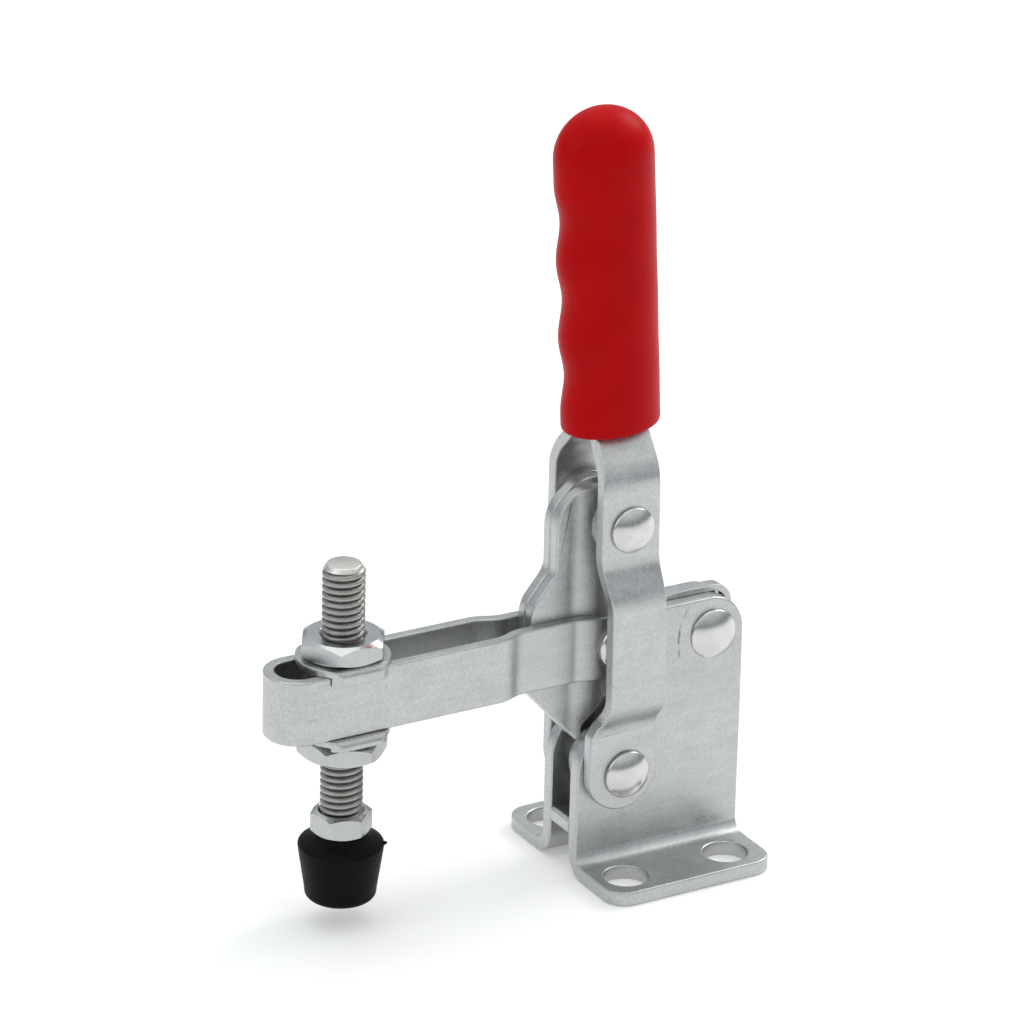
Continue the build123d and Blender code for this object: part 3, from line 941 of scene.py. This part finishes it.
def light_room(scene):
    """Makes a soft room that is dim at the horizon, and hangs three lamps."""
    world = bpy.data.worlds.new("soft_room")
    world.use_nodes = True
    scene.world = world
    room = Nodes(world.node_tree)
    height = room.add("ShaderNodeSeparateXYZ", {}, {
        "Vector": room.add("ShaderNodeTexCoord", {}, {}, output="Generated")}, output="Z")
    sky = room.add("ShaderNodeValToRGB", {"stops": (
        (0.0, (0.27, 0.29, 0.30)), (0.14, (0.31, 0.335, 0.35)), (0.38, (0.67, 0.73, 0.75)),
        (0.72, (0.94, 0.95, 0.95)), (1.0, (0.80, 0.82, 0.82)))}, {"Fac": height})
    room.feed(world.node_tree.nodes["Background"].inputs["Color"], sky)

    stage = scene.clamp_stage
    aim = Vector((0.03, 0, 0.08))
    for name, place, size, power in (
            ("key_lamp", (-0.9, -0.1, 0.8), 0.55, stage.key_power),
            ("fill_lamp", (1.15, 0.1, 0.7), 0.8, stage.fill_power),
            ("top_lamp", (0.0, -0.2, 1.3), 0.9, stage.top_power)):
        lamp = bpy.data.lights.new(name, "AREA")
        lamp.size = size
        lamp.energy = power
        holder = bpy.data.objects.new(name, lamp)
        scene.collection.objects.link(holder)
        holder.location = place
        holder.rotation_euler = (Vector(place) - aim).to_track_quat("Z", "Y").to_euler()


def set_camera(scene):
    """Stands the camera at its place and turns it by its three angles."""
    turn, rise, roll = (math.radians(a) for a in (CAMERA_TURN, CAMERA_ELEVATION, CAMERA_ROLL))
    away = Vector((math.cos(rise) * math.cos(turn), math.cos(rise) * math.sin(turn), math.sin(rise)))
    right = Vector((-math.sin(turn), math.cos(turn), 0))
    up = away.cross(right)
    across = right * math.cos(roll) + up * math.sin(roll)
    over = up * math.cos(roll) - right * math.sin(roll)
    camera = bpy.data.objects.new("camera", bpy.data.cameras.new("camera"))
    camera.data.lens = CAMERA_LENS
    camera.data.sensor_width = CAMERA_SENSOR
    camera.data.clip_start = 0.05
    camera.data.clip_end = 20.0
    scene.collection.objects.link(camera)
    camera.matrix_world = Matrix((
        (across.x, over.x, away.x, CAMERA_PLACE[0]),
        (across.y, over.y, away.y, CAMERA_PLACE[1]),
        (across.z, over.z, away.z, CAMERA_PLACE[2]),
        (0, 0, 0, 1)))
    scene.camera = camera


class CLAMP_OT_stage(bpy.types.Operator):
    """Lays the pale floor, hangs the soft lamps and sets the camera"""

    bl_idname = "clamp.stage"
    bl_label = "Stage"

    def execute(self, context):
        lay_floor(tuple(context.scene.clamp_stage.floor_colour))
        light_room(context.scene)
        set_camera(context.scene)
        context.scene.view_settings.view_transform = "Standard"
        return {"FINISHED"}


class CLAMP_PT_panel(bpy.types.Panel):
    """Lists the clamp's pieces and its sizes, colours and lamps"""

    bl_idname = "CLAMP_PT_panel"
    bl_label = "Toggle clamp"
    bl_space_type = "VIEW_3D"
    bl_region_type = "UI"
    bl_category = "Clamp"

    def draw(self, context):
        for operator in STEPS:
            self.layout.operator(operator.bl_idname)
        for group in (context.scene.clamp_sizes, context.scene.clamp_finishes,
                      context.scene.clamp_stage):
            for key in group.bl_rna.properties.keys():
                if key not in ("rna_type", "name"):
                    self.layout.prop(group, key)


STEPS = (CLAMP_OT_base, CLAMP_OT_rivets, CLAMP_OT_handle, CLAMP_OT_grip, CLAMP_OT_arm,
         CLAMP_OT_spindle, CLAMP_OT_nuts, CLAMP_OT_tip, CLAMP_OT_stage)
GROUPS = (ClampSizes, ClampFinishes, ClampStage)


def register():
    for cls in (*GROUPS, *STEPS, CLAMP_PT_panel):
        bpy.utils.register_class(cls)
    bpy.types.Scene.clamp_sizes = bpy.props.PointerProperty(type=ClampSizes)
    bpy.types.Scene.clamp_finishes = bpy.props.PointerProperty(type=ClampFinishes)
    bpy.types.Scene.clamp_stage = bpy.props.PointerProperty(type=ClampStage)


def unregister():
    del bpy.types.Scene.clamp_stage
    del bpy.types.Scene.clamp_finishes
    del bpy.types.Scene.clamp_sizes
    for cls in reversed((*GROUPS, *STEPS, CLAMP_PT_panel)):
        bpy.utils.unregister_class(cls)


def main():
    register()
    bpy.ops.clamp.base()
    bpy.ops.clamp.rivets()
    bpy.ops.clamp.handle()
    bpy.ops.clamp.grip()
    bpy.ops.clamp.arm()
    bpy.ops.clamp.spindle()
    bpy.ops.clamp.nuts()
    bpy.ops.clamp.tip()
    bpy.ops.clamp.stage()


if __name__ == "__main__":
    main()
